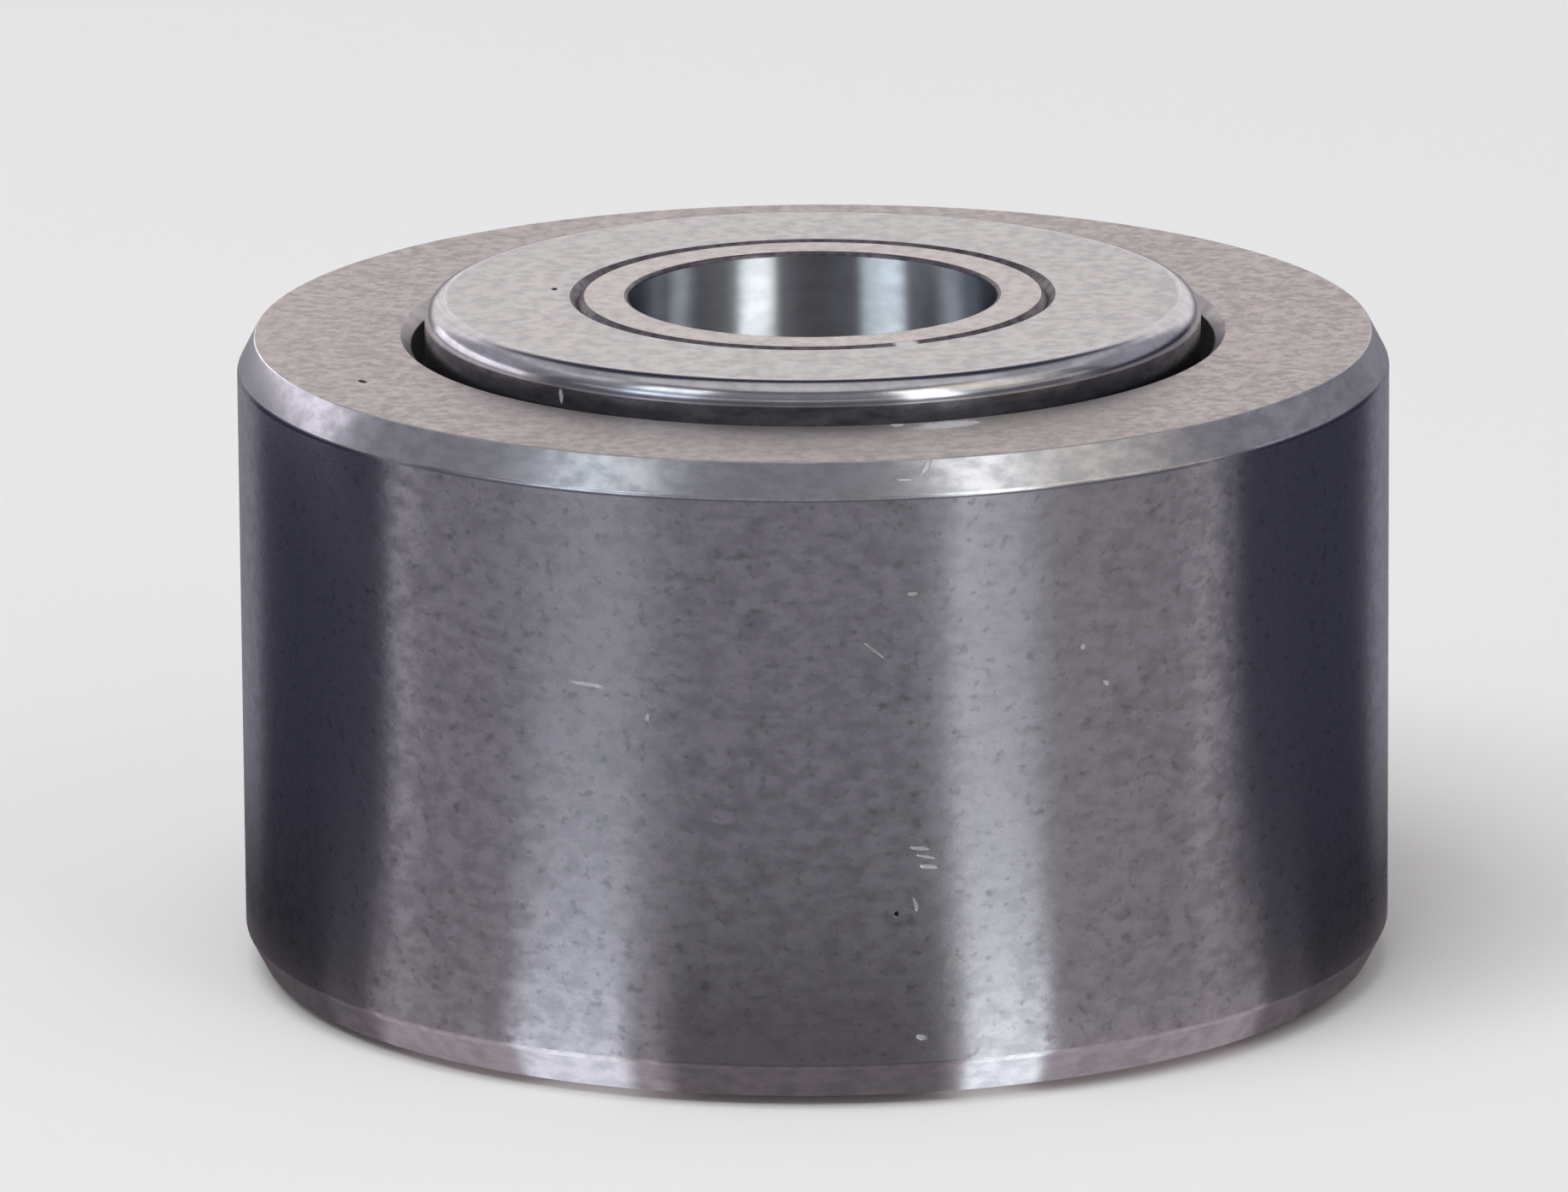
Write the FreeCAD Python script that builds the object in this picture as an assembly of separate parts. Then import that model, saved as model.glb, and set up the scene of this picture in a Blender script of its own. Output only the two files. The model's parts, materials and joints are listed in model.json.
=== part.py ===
import FreeCAD, Part

import os
from math import sin, tan

# Cam follower of the yoke type. A thick outer ring rolls on caged needles round an inner ring,
# and an end plate pressed on each end of the inner ring holds the outer ring and the cage between them.
# Millimetres. The origin is the middle of the bore, half way along the overall width. +Z runs along
# the bore. The follower lies on its lower end plate, so the outer ring and the cage have both slid
# down by their axial play.

# --- Driving dimensions ---------------------------------------------------------------------------
outer_radius = 12.5        # rolling surface
bore_radius = 4.0          # for the pin that carries the follower
overall_width = 14.8       # over the two end plates
ring_width = 13.8          # outer ring alone

plate_radius = 8.42
plate_thickness = 2.2
fit_radius = 5.1           # where the end plates are pressed on the inner ring

needle_count = 16
needle_radius = 1.0
needle_length = 7.8
pitch_radius = 7.0         # circle of the needles' axes
running_clearance = 0.015  # each side of a needle, to the raceway
pocket_clearance = 0.03    # each side of a needle, to the cage

ring_drop = 0.28           # how far the outer ring has slid down
face_clearance = 0.03      # between faces that slide on each other

# --- Smaller features -----------------------------------------------------------------------------
tread_chamfer = 0.38       # outer ring's outer edge, measured across its end face
tread_chamfer_height = 0.73
tread_edge_rounding = 0.25  # where that chamfer meets the rolling surface
recess_clearance = 0.30    # between an end plate's rim and the recess that it sits in
recess_chamfer = 0.24
raceway_chamfer = 0.15
plate_rim_rounding = 0.5   # polished shoulder of an end plate
plate_joint_chamfer = 0.17  # plate's half of the V groove where it meets the inner ring
ring_joint_chamfer = 0.14  # inner ring's half of that groove
bore_edge_rounding = 0.09
edge_break = 0.05          # what grinding leaves on a sharp edge
oil_hole_radius = 0.75     # from the bore to the needles

cage_inner_radius = 6.3
cage_outer_radius = 7.7
cage_length = 10.0
pocket_end_clearance = 0.05
pocket_corner = 0.25

# --- Worked out -----------------------------------------------------------------------------------
half_width = overall_width / 2
half_ring = ring_width / 2
plate_inner_z = half_width - plate_thickness
inner_raceway = pitch_radius - needle_radius - running_clearance
outer_raceway = pitch_radius + needle_radius + running_clearance
recess_radius = plate_radius + recess_clearance
shoulder_z = plate_inner_z - ring_drop - face_clearance
cage_drop = plate_inner_z - cage_length / 2 - face_clearance

axis = FreeCAD.Vector(0, 0, 1)
centre = FreeCAD.Vector(0, 0, 0)


def profile(corners):
    """Flat closed face in the XZ plane from corners (radius, height, rounding of that corner)."""
    points = [FreeCAD.Vector(radius, 0, height) for radius, height, rounding in corners]
    stops = []
    for i, (radius, height, rounding) in enumerate(corners):
        corner = points[i]
        backward = (points[i - 1] - corner).normalize()
        forward = (points[(i + 1) % len(points)] - corner).normalize()
        if rounding == 0:
            stops.append((corner, None, corner))
            continue
        half_angle = backward.getAngle(forward) / 2
        reach = rounding / tan(half_angle)
        inward = (backward + forward).normalize()
        depth = rounding / sin(half_angle) - rounding
        stops.append((corner + backward * reach, corner + inward * depth, corner + forward * reach))
    edges = []
    for i, (start, middle, end) in enumerate(stops):
        edges.append(Part.LineSegment(stops[i - 1][2], start).toShape())
        if middle is not None:
            edges.append(Part.Arc(start, middle, end).toShape())
    return Part.Face(Part.Wire(edges))


def mirrored(upper_corners):
    """Adds the lower half of an outline that is the same above and below height 0."""
    lower_corners = [(radius, -height, rounding) for radius, height, rounding in reversed(upper_corners)]
    return upper_corners + lower_corners


def turned(corners):
    """Solid of revolution about the bore's axis."""
    return profile(corners).revolve(centre, axis, 360)


def make_outer_ring():
    ring = turned(mirrored([
        (outer_raceway, shoulder_z - raceway_chamfer, 0),
        (outer_raceway + raceway_chamfer, shoulder_z, 0),
        (recess_radius, shoulder_z, raceway_chamfer),
        (recess_radius, half_ring - recess_chamfer, edge_break),
        (recess_radius + recess_chamfer, half_ring, edge_break),
        (outer_radius - tread_chamfer, half_ring, edge_break),
        (outer_radius, half_ring - tread_chamfer_height, tread_edge_rounding),
    ]))
    ring.translate(FreeCAD.Vector(0, 0, -ring_drop))
    return ring


def make_inner_ring():
    ring = turned(mirrored([
        (bore_radius, half_width, bore_edge_rounding),
        (fit_radius - ring_joint_chamfer, half_width, edge_break),
        (fit_radius, half_width - ring_joint_chamfer, 0),
        (fit_radius, plate_inner_z, 0),
        (inner_raceway, plate_inner_z, edge_break),
    ]))
    oil_hole = Part.makeCylinder(oil_hole_radius, pitch_radius, centre, FreeCAD.Vector(1, 0, 0))
    return ring.cut(oil_hole).Solids[0]


def make_end_plate(side):
    """side is 1 for the upper plate and -1 for the lower one."""
    return turned([(radius, side * height, rounding) for radius, height, rounding in [
        (fit_radius, plate_inner_z, 0),
        (plate_radius, plate_inner_z, edge_break),
        (plate_radius, half_width, plate_rim_rounding),
        (fit_radius + plate_joint_chamfer, half_width, edge_break),
        (fit_radius, half_width - plate_joint_chamfer, 0),
    ]])


def make_cage():
    cage = turned(mirrored([
        (cage_inner_radius, cage_length / 2, edge_break),
        (cage_outer_radius, cage_length / 2, edge_break),
    ]))
    half_pocket = needle_radius + pocket_clearance
    half_length = needle_length / 2 + pocket_end_clearance
    pocket = Part.makeBox(4 * needle_radius, 2 * half_pocket, 2 * half_length,
                          FreeCAD.Vector(pitch_radius - 2 * needle_radius, -half_pocket, -half_length))
    radial_edges = [edge for edge in pocket.Edges if abs(edge.tangentAt(edge.FirstParameter).x) > 0.9]
    pocket = pocket.makeFillet(pocket_corner, radial_edges)
    for i in range(needle_count):
        cage = cage.cut(pocket.rotated(centre, axis, i * 360 / needle_count))
    cage = cage.Solids[0]
    cage.translate(FreeCAD.Vector(0, 0, -cage_drop))
    return cage


def make_needle(i):
    needle = turned([
        (0, needle_length / 2, 0),
        (needle_radius, needle_length / 2, pocket_corner),
        (needle_radius, -needle_length / 2, pocket_corner),
        (0, -needle_length / 2, 0),
    ])
    needle.translate(FreeCAD.Vector(pitch_radius, 0, -cage_drop))
    needle.rotate(centre, axis, i * 360 / needle_count)
    return needle


nodes = {
    "outer_ring": make_outer_ring(),
    "inner_ring": make_inner_ring(),
    "upper_end_plate": make_end_plate(1),
    "lower_end_plate": make_end_plate(-1),
    "cage": make_cage(),
}
for i in range(needle_count):
    nodes[f"needle_{i + 1:02d}"] = make_needle(i)

os.makedirs("parts", exist_ok=True)
for name, shape in nodes.items():
    shape.exportStep(f"parts/{name}.step")
    box = shape.BoundBox
    print(name, shape.ShapeType, shape.isValid(), round(shape.Volume, 2),
          "z", round(box.ZMin, 3), round(box.ZMax, 3), "r", round(box.XMax, 3))
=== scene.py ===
import json
from math import asin, cos, pi, radians, sin, sqrt, tan

import bpy
from mathutils import Matrix, Vector


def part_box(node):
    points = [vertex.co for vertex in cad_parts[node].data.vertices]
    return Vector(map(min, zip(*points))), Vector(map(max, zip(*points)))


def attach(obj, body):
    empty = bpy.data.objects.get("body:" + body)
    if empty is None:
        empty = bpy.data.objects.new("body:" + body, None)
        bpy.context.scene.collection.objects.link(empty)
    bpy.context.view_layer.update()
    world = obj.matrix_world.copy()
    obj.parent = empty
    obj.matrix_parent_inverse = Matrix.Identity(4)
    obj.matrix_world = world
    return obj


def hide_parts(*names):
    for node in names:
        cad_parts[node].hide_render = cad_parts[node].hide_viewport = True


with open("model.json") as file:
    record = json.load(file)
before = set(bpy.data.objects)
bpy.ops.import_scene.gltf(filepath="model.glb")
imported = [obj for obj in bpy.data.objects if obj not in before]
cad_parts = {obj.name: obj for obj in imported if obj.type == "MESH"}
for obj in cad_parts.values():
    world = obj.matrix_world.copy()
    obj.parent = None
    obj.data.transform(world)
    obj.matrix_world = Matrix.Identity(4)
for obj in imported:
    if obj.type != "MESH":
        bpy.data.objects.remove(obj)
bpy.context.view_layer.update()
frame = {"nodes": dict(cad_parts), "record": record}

# Cam follower, yoke type, lying on its lower end plate with its axis along Z. Everything is in metres.
# The turned parts are lathed again here from the same sizes, with finer edges than the CAD meshes have.
MM = 0.001

# --- Sizes from the frame -------------------------------------------------------------------------
ring_low, ring_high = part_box("outer_ring")
plate_low, plate_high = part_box("upper_end_plate")
inner_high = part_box("inner_ring")[1]
bore = next(m for m in frame["record"]["mounts"] if m["name"] == "bore")

outer_radius = ring_high.x
ring_middle = (ring_low.z + ring_high.z) / 2
half_ring = (ring_high.z - ring_low.z) / 2
plate_radius = plate_high.x
plate_thickness = plate_high.z - plate_low.z
inner_raceway = inner_high.x
half_width = inner_high.z
bore_radius = bore["dims"]["r_mm"] * MM
floor_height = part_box("lower_end_plate")[0].z

# --- Sizes that the frame's boxes don't hold ------------------------------------------------------
fit_radius = 5.1 * MM
outer_raceway = 8.015 * MM
raceway_chamfer = 0.15 * MM
recess_clearance = 0.30 * MM
recess_chamfer = 0.24 * MM
shoulder_height = 4.89 * MM
tread_chamfer = 0.38 * MM
tread_chamfer_height = 0.73 * MM
tread_edge_rounding = 0.25 * MM
plate_rim_rounding = 0.5 * MM
plate_joint_chamfer = 0.17 * MM
ring_joint_chamfer = 0.14 * MM
bore_edge_rounding = 0.09 * MM
oil_hole_radius = 0.75 * MM
edge_break = 0.05 * MM
hair = 0.02 * MM           # rounding of the corners that never show

SEGMENTS = 360             # of a full turn of the lathe
ARC_STEP = radians(8)      # of a rounding
TINY = 1e-9                # distances below this are taken to be 0


def toward(azimuth, elevation):
    """Unit vector, from degrees. Azimuth 0 is the camera's side, and grows to the right."""
    level = cos(radians(elevation))
    return Vector((sin(radians(azimuth)) * level, -cos(radians(azimuth)) * level, sin(radians(elevation))))


# --- Node helpers ---------------------------------------------------------------------------------
class Graph:
    """Adds shader nodes to one tree and joins them."""

    def __init__(self, tree):
        self.tree = tree
        tree.nodes.clear()

    def node(self, kind, settings=None, **inputs):
        made = self.tree.nodes.new("ShaderNode" + kind)
        for name, value in (settings or {}).items():
            setattr(made, name, value)
        for name, value in inputs.items():
            self.feed(made, name.replace("_", " "), value)
        return made

    def feed(self, node, name, value):
        socket = node.inputs[int(name)] if name.isdigit() else node.inputs[name]
        if isinstance(value, bpy.types.NodeSocket):
            self.tree.links.new(value, socket)
        else:
            socket.default_value = value

    def math(self, operation, *values):
        made = self.node("Math", {"operation": operation})
        for number, value in enumerate(values):
            self.feed(made, str(number), value)
        return made.outputs[0]

    def between(self, value, low, high, to_low=0.0, to_high=1.0):
        """value carried smoothly from low..high to to_low..to_high, and held outside that."""
        made = self.node("MapRange", {"interpolation_type": "SMOOTHSTEP"})
        for number, setting in enumerate((value, low, high, to_low, to_high)):
            self.feed(made, str(number), setting)
        return made.outputs[0]

    def place(self, scale, turn, shift):
        """Position on the part in millimetres, times scale along each axis, for a texture."""
        here = self.node("TexCoord").outputs["Object"]
        mapping = self.node("Mapping", Vector=here, Rotation=(0, 0, turn), Location=shift)
        mapping.inputs["Scale"].default_value = [s / MM for s in scale]
        return mapping.outputs[0]

    def noise(self, scale, detail, roughness=0.55, turn=0.0, shift=(0, 0, 0)):
        """Noise from 0 to 1 with features about 1/scale millimetres long along each axis."""
        place = self.place(scale, turn, shift)
        return self.node("TexNoise", Vector=place, Scale=1.0, Detail=detail, Roughness=roughness).outputs[0]

    def blend(self, factor, first, second):
        """The colour first where factor is 0 and second where it is 1."""
        made = self.node("Mix", {"data_type": "RGBA"})
        self.feed(made, "0", factor)
        self.feed(made, "6", first)
        self.feed(made, "7", second)
        return made.outputs[2]

    def scaled(self, vector, factor):
        made = self.node("VectorMath", {"operation": "SCALE"}, Scale=factor)
        self.feed(made, "0", vector)
        return made.outputs[0]

    def length(self, vector):
        made = self.node("VectorMath", {"operation": "LENGTH"})
        self.feed(made, "0", vector)
        return made.outputs["Value"]


def new_material(name):
    """A material and the graph of its nodes."""
    material = bpy.data.materials.new(name)
    material.use_nodes = True
    return material, Graph(material.node_tree)


# --- Steel ----------------------------------------------------------------------------------------
# Shade of the bright spots: nicked steel, and painted highlights.
NICK_AND_GLINT_SHADE = 0.95
PIT_SHADE = 0.05
SPOT_ROUGHNESS = 0.3       # added to the steel's own
SPOT_DEPTH = 0.015 * MM
SPOT_THICKNESS = 0.5 * MM  # half the size of a spot's ellipsoid through the surface
SPOT_RAGGED = 0.9          # how far noise moves a spot's edge, as a share of its size
SPOT_EDGE = (1.15, 1.6)    # where a spot starts and stops fading, with the noise on


def spot_mask(graph, spots, upward):
    """1 in each spot, which is where the surface passes through a thin ellipsoid. A spot is
    (angle round the axis, radius, height, half length, half width, tilt), in degrees and millimetres.
    upward means that the surface is level, and not a wall."""
    here = graph.node("TexCoord").outputs["Object"]
    ragged = graph.math("MULTIPLY", graph.noise((9, 9, 9), detail=2.0), SPOT_RAGGED)
    total = None
    for angle, radius, height, half_length, half_width, tilt in spots:
        middle = toward(angle, 0) * radius * MM
        middle.z = height * MM
        near = graph.node("Mapping", {"vector_type": "TEXTURE"}, Vector=here, Location=middle)
        if upward:
            near.inputs["Rotation"].default_value = (0, 0, radians(angle + tilt))
            near.inputs["Scale"].default_value = (half_length * MM, half_width * MM, SPOT_THICKNESS)
        else:
            near.inputs["Rotation"].default_value = (0, radians(tilt), radians(angle))
            near.inputs["Scale"].default_value = (half_length * MM, SPOT_THICKNESS, half_width * MM)
        edge = graph.math("ADD", graph.length(near.outputs[0]), ragged)
        spot = graph.between(edge, *SPOT_EDGE, 1.0, 0.0)
        total = spot if total is None else graph.math("MAXIMUM", total, spot)
    return total


def steel(name, dark, light, clouds, rough, rough_spread, marks, mark_depth, cloud_depth=0.0, turn=0.0,
          brushed=0.0, speckle=1.0, edge_tint=(1, 1, 1), nicks_and_glints=(), pits=(), upward=False):
    """Ground steel. clouds and marks are noise scales per millimetre. The clouds vary the colour and the
    gloss, and the marks are the fine lines that grinding or turning left, mark_depth millimetres deep.
    brushed draws the reflections out across lines that run round the axis. speckle is how dark the fine
    dots are, where 1 means none. edge_tint darkens the steel where it is seen at a glancing angle. The
    bright spots are nicked steel, and some are painted highlights that stand in for reflections. pits are
    dark."""
    material, graph = new_material(name)
    cloud = graph.between(graph.noise(clouds, detail=4.0, roughness=0.6, turn=turn), 0.35, 0.68)
    lines = graph.noise(marks, detail=2.0, roughness=0.5, turn=turn, shift=(3, 5, 7))
    colour = graph.blend(cloud, (*light, 1), (*dark, 1))
    if speckle < 1:
        dots = graph.noise((4, 4, 5), detail=2.0, shift=(9, 2, 4))
        colour = graph.scaled(colour, graph.between(dots, 0.56, 0.74, 1.0, speckle))
    rough_value = graph.math("MULTIPLY_ADD", cloud, rough_spread, rough)
    height = graph.math("ADD", graph.math("MULTIPLY", lines, mark_depth * MM),
                        graph.math("MULTIPLY", cloud, cloud_depth * MM))
    for spots, shade in ((nicks_and_glints, NICK_AND_GLINT_SHADE), (pits, PIT_SHADE)):
        if spots:
            mask = spot_mask(graph, spots, upward)
            colour = graph.blend(mask, colour, (shade, shade, shade, 1))
            rough_value = graph.math("ADD", rough_value, graph.math("MULTIPLY", mask, SPOT_ROUGHNESS))
            height = graph.math("SUBTRACT", height, graph.math("MULTIPLY", mask, SPOT_DEPTH))
    bump = graph.node("Bump", Height=height, Strength=1.0, Distance=1.0)
    shader = graph.node("BsdfPrincipled", Base_Color=colour, Metallic=1.0, Roughness=rough_value,
                        Normal=bump.outputs[0])
    shader.inputs["Specular Tint"].default_value = (*edge_tint, 1)
    shader.inputs["Anisotropic"].default_value = brushed
    shader.inputs["Anisotropic Rotation"].default_value = 0.25
    graph.node("OutputMaterial", Surface=shader.outputs[0])
    return material


# --- Finishes -------------------------------------------------------------------------------------
tread_nicks = [
    (-22.5, 12.5, 1.70, 0.38, 0.040, 4),
    (5.7, 12.5, 2.63, 0.26, 0.030, 40),
    (10.1, 12.5, -1.71, 0.22, 0.035, 6),
    (10.7, 12.5, -1.90, 0.20, 0.030, 12),
    (11.0, 12.5, -2.12, 0.20, 0.040, 4),
    (9.6, 12.5, -2.93, 0.14, 0.045, 75),
    (10.2, 12.5, -5.84, 0.12, 0.060, 10),
    (-16.4, 12.5, 1.10, 0.08, 0.050, 80),
    (26.8, 12.5, 2.35, 0.07, 0.050, 0),
    (29.3, 12.5, 1.49, 0.09, 0.045, 20),
    (9.5, 12.5, 3.82, 0.12, 0.035, 0),
    (-1.8, 12.5, 5.87, 0.42, 0.035, 0),
]
tread_finish = steel(
    "tread_ground_steel", dark=(0.46, 0.46, 0.48), light=(0.62, 0.62, 0.64), clouds=(2.0, 2.0, 3.2),
    rough=0.26, rough_spread=0.05, marks=(3.0, 3.0, 6.0), mark_depth=0.0018, cloud_depth=0.0010,
    brushed=0.95, speckle=0.72, nicks_and_glints=tread_nicks, pits=[(7.7, 12.5, -3.12, 0.06, 0.06, 0)])
chamfer_finish = steel(
    "chamfer_turned_steel", dark=(0.44, 0.45, 0.47), light=(0.58, 0.58, 0.60), clouds=(2.0, 2.0, 4.0),
    rough=0.30, rough_spread=0.06, marks=(1.5, 1.5, 12.0), mark_depth=0.0006, brushed=0.6,
    nicks_and_glints=[(11.1, 12.2, 6.46, 0.19, 0.055, -55), (9.0, 12.3, 6.24, 0.16, 0.030, 0)])
# On the ring face the first bright spot is a painted highlight: the end plate rim's highlight as the face
# mirrors it, painted in beside the recess.
ring_face_finish = steel(
    "ring_face_ground_steel", dark=(0.54, 0.50, 0.48), light=(0.66, 0.61, 0.58), clouds=(4.0, 4.0, 4.0),
    rough=0.38, rough_spread=0.10, marks=(1.5, 9.0, 2.0), mark_depth=0.001, turn=radians(25),
    cloud_depth=0.0015, nicks_and_glints=[(17.6, 9.35, 6.62, 0.75, 0.30, 3), (11.3, 9.05, 6.62, 0.15, 0.16, 0)],
    pits=[(-64.4, 10.7, 6.62, 0.16, 0.08, 0)], upward=True)
edge_finish = steel(
    "tread_edge_polished_steel", dark=(0.52, 0.52, 0.53), light=(0.66, 0.66, 0.67), clouds=(3.0, 3.0, 5.0),
    rough=0.19, rough_spread=0.05, marks=(1.5, 1.5, 12.0), mark_depth=0.0004, brushed=0.3)
mouth_finish = steel(
    "recess_mouth_turned_steel", dark=(0.42, 0.40, 0.40), light=(0.52, 0.50, 0.50),
    clouds=(2.0, 2.0, 3.0), rough=0.36, rough_spread=0.06, marks=(1.5, 1.5, 12.0), mark_depth=0.0006)
# The recess, the oil hole and the end plates' hidden inner faces get darker steel: painted shade in the
# hollows.
recess_painted_shade_finish = steel(
    "recess_turned_painted_shade_steel", dark=(0.30, 0.29, 0.30), light=(0.42, 0.41, 0.42), clouds=(2.0, 2.0, 5.0),
    rough=0.38, rough_spread=0.08, marks=(1.5, 1.5, 12.0), mark_depth=0.001)
plate_face_finish = steel(
    "plate_face_ground_steel", dark=(0.62, 0.61, 0.60), light=(0.73, 0.72, 0.70), clouds=(3.2, 3.2, 3.2),
    rough=0.34, rough_spread=0.06, marks=(1.5, 10.0, 2.0), mark_depth=0.0006, turn=radians(-12),
    cloud_depth=0.001, pits=[(-95.9, 5.64, 7.4, 0.12, 0.07, 0)], upward=True)
plate_rim_finish = steel(
    "plate_rim_polished_steel", dark=(0.50, 0.50, 0.52), light=(0.60, 0.60, 0.62), clouds=(1.5, 1.5, 3.0),
    rough=0.17, rough_spread=0.03, marks=(1.0, 1.0, 14.0), mark_depth=0.0003, brushed=0.3)
# The end plates' outer wall is painted near-black: painted shade and painted reflection of the dark gap
# beside it.
plate_wall_painted_shade_finish = steel(
    "plate_wall_painted_shade_steel", dark=(0.12, 0.12, 0.13), light=(0.20, 0.20, 0.22), clouds=(1.5, 1.5, 4.0),
    rough=0.26, rough_spread=0.05, marks=(1.0, 1.0, 14.0), mark_depth=0.0004, brushed=0.3,
    nicks_and_glints=[(-39.6, 8.42, 6.74, 0.15, 0.06, 88)])
# Painted near-black: the V grooves where the inner ring meets the end plates, as dirt and painted shade in
# the crevice, and the bore's edge rounding, which takes the same finish.
groove_dirt_and_shade_finish = steel(
    "groove_dirt_and_painted_shade_steel", dark=(0.10, 0.09, 0.10), light=(0.20, 0.18, 0.20), clouds=(3.0, 3.0, 3.0),
    rough=0.36, rough_spread=0.06, marks=(2.0, 2.0, 14.0), mark_depth=0.0004,
    nicks_and_glints=[(23.5, 5.1, 7.35, 0.28, 0.30, 0)])
inner_face_finish = steel(
    "inner_ring_face_ground_steel", dark=(0.66, 0.62, 0.60), light=(0.80, 0.75, 0.73),
    clouds=(4.0, 4.0, 4.0), rough=0.36, rough_spread=0.06, marks=(2.0, 12.0, 2.0), mark_depth=0.0006,
    turn=radians(15))
bore_finish = steel(
    "bore_honed_steel", dark=(0.44, 0.45, 0.48), light=(0.53, 0.54, 0.57), clouds=(1.0, 1.0, 2.0),
    rough=0.285, rough_spread=0.03, marks=(0.6, 0.6, 9.0), mark_depth=0.0004, brushed=1.0,
    edge_tint=(0.35, 0.36, 0.42))
raceway_finish = steel(
    "raceway_honed_steel", dark=(0.50, 0.50, 0.51), light=(0.60, 0.60, 0.61), clouds=(1.5, 1.5, 2.5),
    rough=0.20, rough_spread=0.04, marks=(0.8, 0.8, 12.0), mark_depth=0.0004, brushed=0.6)
cage_finish = steel(
    "cage_oiled_steel", dark=(0.28, 0.28, 0.29), light=(0.40, 0.40, 0.41), clouds=(1.0, 1.0, 1.5),
    rough=0.36, rough_spread=0.08, marks=(2.0, 2.0, 10.0), mark_depth=0.001)
needle_finish = steel(
    "needle_polished_steel", dark=(0.60, 0.60, 0.61), light=(0.72, 0.72, 0.73), clouds=(2.0, 2.0, 0.6),
    rough=0.14, rough_spread=0.03, marks=(3.0, 3.0, 12.0), mark_depth=0.0003, brushed=0.4)


# --- Lathe ----------------------------------------------------------------------------------------
class Corner:
    """A corner of a turned outline. finish covers the stretch after it, and arc the rounding itself."""

    def __init__(self, radius, height, rounding, finish, arc=None):
        self.spot = Vector((radius, height))
        self.rounding = rounding
        self.finish = finish
        self.arc = arc


def rounded_outline(corners):
    """Points of a closed outline as (radius, height, normal, finish). A rounding with no finish of its
    own takes those of the stretches on each side."""
    outline = []
    for i, corner in enumerate(corners):
        before = corners[i - 1]
        after = corners[(i + 1) % len(corners)]
        arriving = (corner.spot - before.spot).normalized()
        leaving = (after.spot - corner.spot).normalized()
        turn = arriving.angle_signed(leaving)
        side = 1 if turn > 0 else -1
        start = corner.spot - arriving * corner.rounding * tan(abs(turn) / 2)
        start_normal = Vector((-arriving.y, arriving.x))
        centre = start - start_normal * corner.rounding * side
        steps = max(2, round(abs(turn) / ARC_STEP))
        for k in range(steps + 1):
            spin = Matrix.Rotation(-turn * k / steps, 2)
            spot = centre + spin @ (start_normal * corner.rounding * side)
            if k == steps:
                zone = corner.finish
            elif corner.arc:
                zone = corner.arc
            else:
                zone = before.finish if k < steps / 2 else corner.finish
            outline.append((spot.x, spot.y, spin @ start_normal, zone))
    return outline


class Skin:
    """A mesh as it grows: its points with their normals, and its faces with their finishes."""

    def __init__(self):
        self.verts = []
        self.normals = []
        self.faces = []
        self.finishes = []

    def add_point(self, spot, normal):
        self.verts.append(spot)
        self.normals.append(normal)
        return len(self.verts) - 1

    def add_face(self, points, finish):
        self.faces.append(points)
        self.finishes.append(finish)

    def make(self, name):
        mesh = bpy.data.meshes.new(name)
        mesh.from_pydata(self.verts, [], self.faces)
        used = list(dict.fromkeys(self.finishes))
        for finish in used:
            mesh.materials.append(finish)
        mesh.polygons.foreach_set("material_index", [used.index(finish) for finish in self.finishes])
        mesh.shade_smooth()
        mesh.normals_split_custom_set_from_vertices(self.normals)
        piece = bpy.data.objects.new(name, mesh)
        bpy.context.scene.collection.objects.link(piece)
        return piece


def spun(radius, height, angle):
    """The point at that radius and height, at an angle round the axis from +X."""
    return radius * cos(angle), radius * sin(angle), height


def hole_heights(radius, angle):
    """Heights at which a wall of that radius meets the edge of the oil hole along X, at that angle."""
    across = radius * sin(angle)
    if cos(angle) < 0 or abs(across) > oil_hole_radius + TINY:
        return []
    half = sqrt(max(0, oil_hole_radius**2 - across**2))
    return [half, -half] if half > 10 * TINY else [0]


def hole_rims(skin, outline, walls, angles):
    """Adds the points on the oil hole's edge. Returns them by step of angle and wall, and the set of
    the distances to the side at which they lie."""
    rims = {}
    crossings = set()
    for i in walls:
        radius, height, normal = outline[i][:3]
        for step, angle in enumerate(angles):
            heights = sorted(hole_heights(radius, angle), reverse=height > 0)
            outward = spun(normal.x, 0, angle)
            rims[step, i] = [skin.add_point(spun(radius, z, angle), outward) for z in heights]
            if heights:
                crossings.add(radius * sin(angle))
    return rims, crossings


def add_tunnel(skin, start, end, crossings, finish):
    """Adds a face of the oil hole's own wall, from two points on its edge to half way through the ring.
    It has a point at each crossing that it passes, so that it meets the faces from the other side."""
    halfway = (bore_radius + inner_raceway) / 2
    start_x, start_y, start_z = skin.verts[start]
    end_x, end_y, end_z = skin.verts[end]
    low, high = sorted((start_y, end_y))
    passed = sorted((y for y in crossings if low + TINY < y < high - TINY), reverse=end_y > start_y)
    side = 1 if start_z + end_z > 0 else -1
    spots = [(start_x, start_y, start_z), (end_x, end_y, end_z), (halfway, end_y, end_z)]
    spots += [(halfway, y, side * sqrt(oil_hole_radius**2 - y**2)) for y in passed]
    spots.append((halfway, start_y, start_z))
    inward = [(0, -y / oil_hole_radius, -z / oil_hole_radius) for x, y, z in spots]
    skin.add_face([skin.add_point(spot, normal) for spot, normal in zip(spots, inward)], finish)


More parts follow.
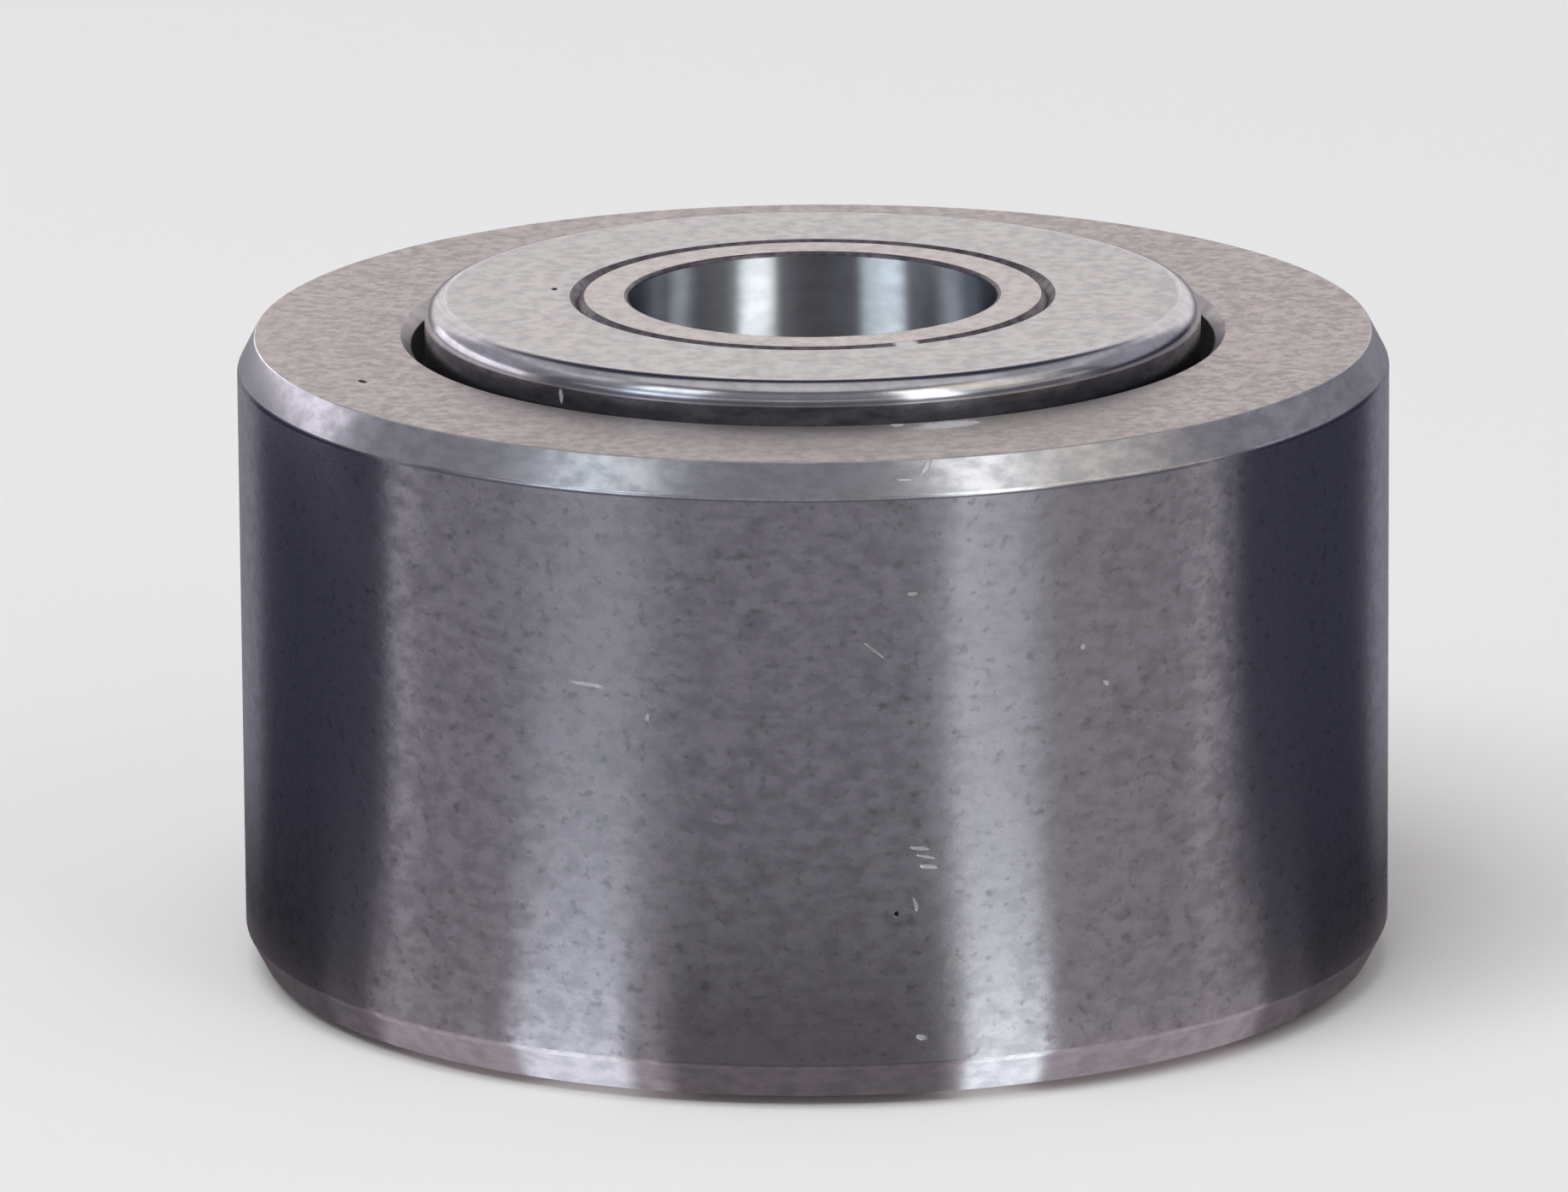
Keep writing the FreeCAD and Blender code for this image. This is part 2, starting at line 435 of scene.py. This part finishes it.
def lathe(name, corners, body, replaced, lift=0.0, drilled=None):
    """Turns a closed outline round the Z axis into a smooth mesh that stands for a CAD node. drilled is
    the finish of the oil hole through it, if it has one."""
    outline = rounded_outline(corners)
    count = len(outline)
    walls = [i for i in range(count) if drilled and outline[i][1] * outline[(i + 1) % count][1] < 0]
    sides = [asin(oil_hole_radius / outline[i][0]) for i in walls]
    angles = [2 * pi * step / SEGMENTS for step in range(SEGMENTS)]
    angles = sorted(angles + sides + [2 * pi - side for side in sides])
    skin = Skin()
    for angle in angles:
        for radius, height, normal, finish in outline:
            skin.add_point(spun(radius, height + lift, angle), spun(normal.x, normal.y, angle))
    rims, crossings = hole_rims(skin, outline, walls, angles)
    for step in range(len(angles)):
        after = (step + 1) % len(angles)
        for i in range(count):
            j = (i + 1) % count
            near_i = step * count + i
            near_j = step * count + j
            far_i = after * count + i
            far_j = after * count + j
            near_rim = rims.get((step, i), ())
            far_rim = rims.get((after, i), ())
            finish = outline[i][3]
            if len(near_rim) + len(far_rim) > 2:
                skin.add_face((near_i, near_rim[0], far_rim[0], far_i), finish)
                skin.add_face((near_rim[-1], near_j, far_j, far_rim[-1]), finish)
                add_tunnel(skin, far_rim[0], near_rim[0], crossings, drilled)
                add_tunnel(skin, near_rim[-1], far_rim[-1], crossings, drilled)
            else:
                skin.add_face((near_i, *near_rim, near_j, far_j, *reversed(far_rim), far_i), finish)
    piece = skin.make(name)
    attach(piece, body)
    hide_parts(replaced)


def flipped(corners, closing):
    """The same outline turned upside down. closing is the finish of the stretch before its first corner
    as given, which is the last stretch here."""
    before = [closing] + [corner.finish for corner in corners]
    turned_over = [Corner(corner.spot.x, -corner.spot.y, corner.rounding, finish, corner.arc)
                   for corner, finish in zip(corners, before)]
    return turned_over[::-1]


# --- Pieces ---------------------------------------------------------------------------------------
recess_radius = plate_radius + recess_clearance
inner_face = half_width - plate_thickness

outer_ring_top = [
    Corner(outer_raceway, shoulder_height - raceway_chamfer, hair, recess_painted_shade_finish),
    Corner(outer_raceway + raceway_chamfer, shoulder_height, hair, recess_painted_shade_finish),
    Corner(recess_radius, shoulder_height, raceway_chamfer, recess_painted_shade_finish),
    Corner(recess_radius, half_ring - recess_chamfer, edge_break, mouth_finish),
    Corner(recess_radius + recess_chamfer, half_ring, edge_break, ring_face_finish),
    Corner(outer_radius - tread_chamfer, half_ring, edge_break, chamfer_finish),
    Corner(outer_radius, half_ring - tread_chamfer_height, tread_edge_rounding, tread_finish, edge_finish),
]
inner_ring_top = [
    Corner(bore_radius, half_width, bore_edge_rounding, inner_face_finish, groove_dirt_and_shade_finish),
    Corner(fit_radius - ring_joint_chamfer, half_width, edge_break, groove_dirt_and_shade_finish),
    Corner(fit_radius, half_width - ring_joint_chamfer, hair, raceway_finish),
    Corner(fit_radius, inner_face, hair, raceway_finish),
    Corner(inner_raceway, inner_face, edge_break, raceway_finish),
]
end_plate_outline = [
    Corner(fit_radius, inner_face, hair, recess_painted_shade_finish),
    Corner(fit_radius, half_width - plate_joint_chamfer, hair, groove_dirt_and_shade_finish),
    Corner(fit_radius + plate_joint_chamfer, half_width, edge_break, plate_face_finish),
    Corner(plate_radius, half_width, plate_rim_rounding, plate_wall_painted_shade_finish, plate_rim_finish),
    Corner(plate_radius, inner_face, edge_break, recess_painted_shade_finish),
]

lathe("outer_ring_turned", outer_ring_top + flipped(outer_ring_top, raceway_finish),
      "outer_ring", "outer_ring", lift=ring_middle)
lathe("inner_ring_turned", inner_ring_top + flipped(inner_ring_top, bore_finish),
      "inner_assembly", "inner_ring", drilled=recess_painted_shade_finish)
lathe("upper_end_plate_turned", end_plate_outline, "inner_assembly", "upper_end_plate")
lathe("lower_end_plate_turned", flipped(end_plate_outline, recess_painted_shade_finish),
      "inner_assembly", "lower_end_plate")

for name, node in frame["nodes"].items():
    if name == "cage" or name.startswith("needle"):
        node.data.materials.clear()
        node.data.materials.append(cage_finish if name == "cage" else needle_finish)


# --- Floor, lights and camera ---------------------------------------------------------------------
FLOOR_COLOUR = (0.78, 0.78, 0.77, 1)
FLOOR_REACH = 1.5          # each way from the axis


def level_square(name, reach, height, material):
    """A square of material that goes as far as reach each way from the axis."""
    mesh = bpy.data.meshes.new(name)
    corners = [(-reach, -reach, 0), (reach, -reach, 0), (reach, reach, 0), (-reach, reach, 0)]
    mesh.from_pydata(corners, [], [(0, 1, 2, 3)])
    mesh.materials.append(material)
    square = bpy.data.objects.new(name, mesh)
    square.location.z = height
    bpy.context.scene.collection.objects.link(square)
    return square


def make_floor():
    """A plain pale floor. The metal doesn't mirror it, because it has floor_glow instead."""
    material, graph = new_material("floor_pale")
    matte = graph.node("BsdfDiffuse", Color=FLOOR_COLOUR)
    graph.node("OutputMaterial", Surface=matte.outputs[0])
    floor = level_square("floor", FLOOR_REACH, floor_height, material)
    floor.visible_glossy = False
    floor.visible_shadow = False


def soft_light(name, location, back, size, power, colour=(1, 1, 1)):
    """A rectangular light that shines away from the direction back."""
    light = bpy.data.lights.new(name, "AREA")
    light.shape = "RECTANGLE"
    light.size, light.size_y = size
    light.energy = power
    light.color = colour
    lamp = bpy.data.objects.new(name, light)
    lamp.location = location
    lamp.rotation_euler = back.to_track_quat("Z", "Y").to_euler()
    bpy.context.scene.collection.objects.link(lamp)
    return lamp


def make_key():
    """The light on the floor. The metal mirrors the panels in its place."""
    distance = 0.8
    size = 0.6
    power = 4.35
    back = toward(-35, 62)
    key = soft_light("key", back * distance, back, (size, size), power)
    key.visible_glossy = False
    key.visible_camera = False


def make_camera():
    """A long lens that looks a little down at a point just beside and above the middle of the ring."""
    elevation = 14.506
    roll = radians(-0.425)
    distance = 324.2 * MM
    aim_left = 0.669 * MM
    aim_up = 0.888 * MM
    middle = Vector((0, 0, ring_middle))
    back = toward(0, elevation)
    up = Vector((0, sin(radians(elevation)), cos(radians(elevation))))
    target = middle + Vector((-aim_left, 0, 0)) + up * aim_up
    camera = bpy.data.objects.new("camera", bpy.data.cameras.new("camera"))
    camera.data.sensor_width = 36
    camera.data.lens = 341.2
    camera.data.clip_start = 0.01
    camera.location = middle + back * distance
    facing = (camera.location - target).to_track_quat("Z", "Y")
    camera.rotation_mode = "QUATERNION"
    camera.rotation_quaternion = facing @ Matrix.Rotation(roll, 3, "Z").to_quaternion()
    bpy.context.scene.collection.objects.link(camera)
    bpy.context.scene.camera = camera


# --- What the metal mirrors -----------------------------------------------------------------------
# Panels of light in the world: how their sides are counted, left and right side, bottom and top, how
# far the sides and the ends fade, and colour. All angles are in degrees. "across" counts from the
# camera's side to the right, and "around" counts from it to both sides.
PANELS = [
    ("around", -1, 181, -91, 91, 8, 16, (0.027, 0.028, 0.054)),      # what the dark parts give back
    ("around", -1, 93, -91, -20, 1.5, 12, (0.30, 0.27, 0.28)),       # floor on the camera's side
    ("around", -1, 93, -20, 91, 1.5, 12, (0.09, 0.085, 0.09)),       # room above it
    ("around", -1, 93, 30, 48, 2, 6, (0.17, 0.165, 0.165)),
    ("across", -72, 88, 15, 19, 5, 3, (0.50, 0.48, 0.45)),           # low panel over the camera
    ("across", -54, -38, 14, 19, 4, 3, (1.0, 1.05, 1.05)),           # and its lamp
    ("across", -60, -38, 9, 30, 3, 4, (0.25, 0.33, 0.48)),           # left strip
    ("across", -60, -38, 35, 49, 3, 4, (1.45, 1.55, 1.55)),
    ("across", 29, 44, 9, 30, 1.5, 4, (1.9, 2.0, 2.1)),              # right strip
    ("across", 29, 44, 35, 49, 1.5, 4, (2.2, 2.2, 2.1)),
    ("across", 28, 30, -80, 40, 1, 4, (0.22, 0.22, 0.23)),           # its bright edge
    ("across", 50, 74, 28, 52, 8, 8, (0.75, 0.68, 0.56)),            # warm panel, high on the right
    ("across", 82, 86, -80, 50, 2, 10, (0.20, 0.17, 0.17)),          # narrow gleams near the dark parts
    ("across", -93, -88, -80, 50, 1.5, 10, (0.27, 0.25, 0.27)),
    ("around", 150, 181, -80, 30, 6, 8, (0.20, 0.19, 0.21)),         # room behind
    ("around", 100, 150, 12, 40, 6, 10, (0.36, 0.35, 0.38)),         # side walls
    ("around", 80, 138, 44, 62, 12, 8, (0.38, 0.37, 0.37)),          # and their upper half
    ("around", 158, 181, 8, 28, 22, 8, (0.73, 0.68, 0.645)),         # pale wall behind
    ("around", -1, 181, 68, 91, 8, 10, (0.65, 0.63, 0.62)),          # overhead
]

# Light on the floor close by, by where it shows in the rolling surface: from, to and how far it fades,
# in degrees round the axis, and colour.
FLOOR_GLOW = [
    # painted shade: the floor in front, darkened as if in the follower's shadow
    (-60, 60, 3, (0.07, 0.06, 0.065)),
    (-51, -17, 3, (0.30, 0.26, 0.28)),       # pale floor on the left
    (15, 51, 3, (0.30, 0.26, 0.28)),         # and on the right
    (-31, -21, 2.5, (0.70, 0.76, 0.84)),     # shine of the left strip
    (16, 23, 1.5, (0.95, 1.05, 1.10)),       # shine of the right strip
]
GLOW_REACH = 60 * MM                         # each way from the axis
GLOW_FADE = (14 * MM, 31 * MM)               # distances from the axis where it starts and stops fading
GLOW_DROP = 0.02 * MM                        # how far it lies below the floor
CLOSE_GLOW = (0.12, 0.10, 0.11)              # more light right beside the follower
CLOSE_FADE = (outer_radius + 0.5 * MM, outer_radius + 3 * MM)
# Below the follower the glow is an opaque black sheet: painted shade standing in for the shadow under it.
UNDERSIDE_FADE = (outer_radius - 3 * MM, outer_radius)  # from no glow below the follower to all of it

# Small cards of light: name, angle, distance from the axis, middle height, width, height and colour, in
# degrees and millimetres. Two make the streaks in the bore and one the gleam on the left chamfer.
CARDS = [
    ("bore_card_right", 53.5, 3.72, 5.15, 2.31, 4.3, (2.1, 2.25, 2.15)),
    ("bore_card_left", -69, 3.62, 5.15, 2.92, 4.3, (1.15, 1.32, 1.36)),
    ("edge_card_left", -94, 14.2, 8.05, 12.6, 2.3, (0.95, 0.88, 0.95)),
]
STREAKS_PER_DEGREE = 0.13                    # of the unevenness of the panels
STREAK_STRENGTHS = (0.60, 1.40)


def window(graph, value, low, high, soft):
    """1 where value is between low and high, falling smoothly to 0 over soft beyond each end."""
    rising = graph.between(value, low - soft, low)
    falling = graph.between(value, high, high + soft, 1.0, 0.0)
    return graph.math("MULTIPLY", rising, falling)


def azimuth_of(graph, x, y):
    """The azimuth of a place or direction, in degrees, counted as in toward()."""
    turned = graph.math("ARCTAN2", x, graph.math("MULTIPLY", y, -1.0))
    return graph.math("MULTIPLY", turned, 180 / pi)


def add_light(graph, total, mask, colour):
    """total with colour added where mask is 1. total is None at first."""
    light = graph.scaled(colour, mask)
    if total is None:
        return light
    summed = graph.node("VectorMath", {"operation": "ADD"})
    graph.feed(summed, "0", total)
    graph.feed(summed, "1", light)
    return summed.outputs[0]


def make_floor_glow():
    """What the metal sees of the floor close by: where each strip shines back off it, and painted shade,
    dark in front of the follower and black beneath it.
    """
    material, graph = new_material("floor_glow")
    x, y, z = graph.node("SeparateXYZ", Vector=graph.node("TexCoord").outputs["Object"]).outputs
    away = graph.length(graph.node("CombineXYZ", X=x, Y=y).outputs[0])
    # Far off, the rolling surface shows a place at half its azimuth, and close by at all of it.
    spread = graph.math("SUBTRACT", graph.math("MULTIPLY", away, 2.0), outer_radius)
    mirrored_at = graph.math("MULTIPLY", azimuth_of(graph, x, y), graph.math("DIVIDE", away, spread))
    total = None
    for low, high, soft, colour in FLOOR_GLOW:
        total = add_light(graph, total, window(graph, mirrored_at, low, high, soft), colour)
    total = add_light(graph, total, graph.between(away, *CLOSE_FADE, 1.0, 0.0), CLOSE_GLOW)
    shine = graph.node("Emission", Color=total, Strength=graph.between(away, *UNDERSIDE_FADE))
    clear = graph.node("BsdfTransparent")
    mix = graph.node("MixShader")
    graph.feed(mix, "0", graph.between(away, *GLOW_FADE, 1.0, 0.0))
    graph.feed(mix, "1", clear.outputs[0])
    graph.feed(mix, "2", shine.outputs[0])
    graph.node("OutputMaterial", Surface=mix.outputs[0])
    glow = level_square("floor_glow", GLOW_REACH, floor_height - GLOW_DROP, material)
    glow.visible_camera = False
    glow.visible_diffuse = False
    glow.visible_shadow = False


def make_card(name, angle, radius, middle, width, height, colour):
    """A card of light that faces the axis and shows only in the metal in front of it."""
    back = toward(angle, 0)
    place = back * radius * MM + Vector((0, 0, middle * MM))
    power = 4 * width * height * MM**2  # it then looks as bright as its colour
    card = soft_light(name, place, back, (width * MM, height * MM), power, colour)
    card.visible_diffuse = False
    card.visible_camera = False
    card.data.use_shadow = False


def make_world():
    """The studio: the panels round a grey room, a little uneven."""
    world = bpy.data.worlds.new("studio")
    bpy.context.scene.world = world
    world.use_nodes = True
    graph = Graph(world.node_tree)
    x, y, z = graph.node("SeparateXYZ", Vector=graph.node("TexCoord").outputs["Generated"]).outputs
    across = azimuth_of(graph, x, y)
    around = graph.math("ABSOLUTE", across)
    up = graph.math("MULTIPLY", graph.math("ARCSINE", z), 180 / pi)
    total = None
    for counted, low, high, bottom, top, soft_sides, soft_ends, colour in PANELS:
        angle = around if counted == "around" else across
        mask = graph.math("MULTIPLY", window(graph, angle, low, high, soft_sides),
                          window(graph, up, bottom, top, soft_ends))
        total = add_light(graph, total, mask, colour)
    along = graph.math("MULTIPLY", across, STREAKS_PER_DEGREE)
    streaks = graph.node("TexNoise", {"noise_dimensions": "1D"}, W=along, Detail=3.0)
    strength = graph.between(streaks.outputs[0], 0.30, 0.70, *STREAK_STRENGTHS)
    background = graph.node("Background", Color=total, Strength=strength)
    graph.node("OutputWorld", Surface=background.outputs[0])


make_key()
make_floor()
make_floor_glow()
for card_values in CARDS:
    make_card(*card_values)
make_world()
make_camera()
bpy.context.scene.view_settings.view_transform = "Standard"
